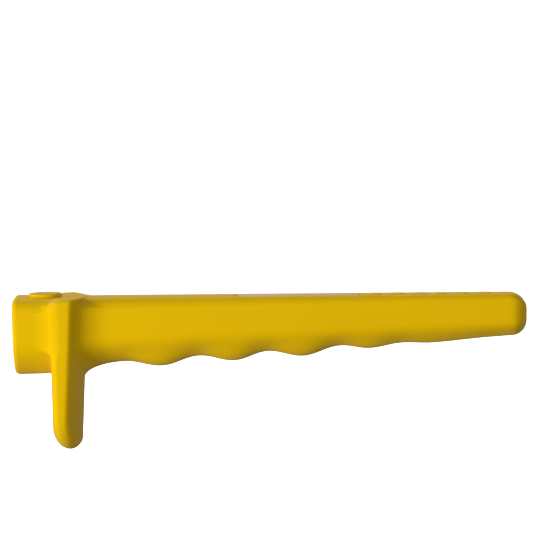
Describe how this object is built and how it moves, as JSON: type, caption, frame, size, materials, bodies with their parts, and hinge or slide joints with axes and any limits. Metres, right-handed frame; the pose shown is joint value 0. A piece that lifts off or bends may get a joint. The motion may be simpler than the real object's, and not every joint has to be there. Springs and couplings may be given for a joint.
{
  "type": "guarded tool handle",
  "caption": "One-hand moulded handle with a D-shaped push-button socket, a flat hand guard and a tapered grip with finger grooves.",
  "frame": {"origin": "centre of the buffer's face that the end of a tool's shank stops on, on the socket's axis, 34 mm inside the mouth", "axes": "+X along the socket's axis towards the end of the grip, +Z towards the flat thumb side with the push button, -Z towards the tip of the hand guard"},
  "size_m": [0.19, 0.035, 0.058],
  "materials": {
    "yellow_moulding": "satin moulded surface, fine grain",
    "yellow_button": "satin moulded surface, a little smoother than the handle",
    "label_grey": "satin film, blank",
    "pressed_steel": "zinc-plated sheet",
    "spring_steel": "drawn wire",
    "black_rubber": "matt moulded rubber",
    "aluminium_tube": "extruded, as drawn"
  },
  "bodies": {
    "handle": {"handle_body": "yellow_moulding", "label_plate": "label_grey", "socket_sleeve": "pressed_steel", "mouth_seal": "black_rubber", "shank_buffer": "black_rubber", "core_tube": "aluminium_tube", "spring_seat": "pressed_steel", "button_spring": "spring_steel"},
    "button": {"lock_button": "yellow_button", "latch_stirrup": "pressed_steel"}
  },
  "joints": [
    {"name": "button_press", "type": "slide", "parent": "handle", "child": "button", "axis": [0, 0, -1], "range_m": [0, 0.0018], "stiffness_N_per_m": 1500, "springref_m": -0.001, "deforming": ["button_spring"]}
  ]
}
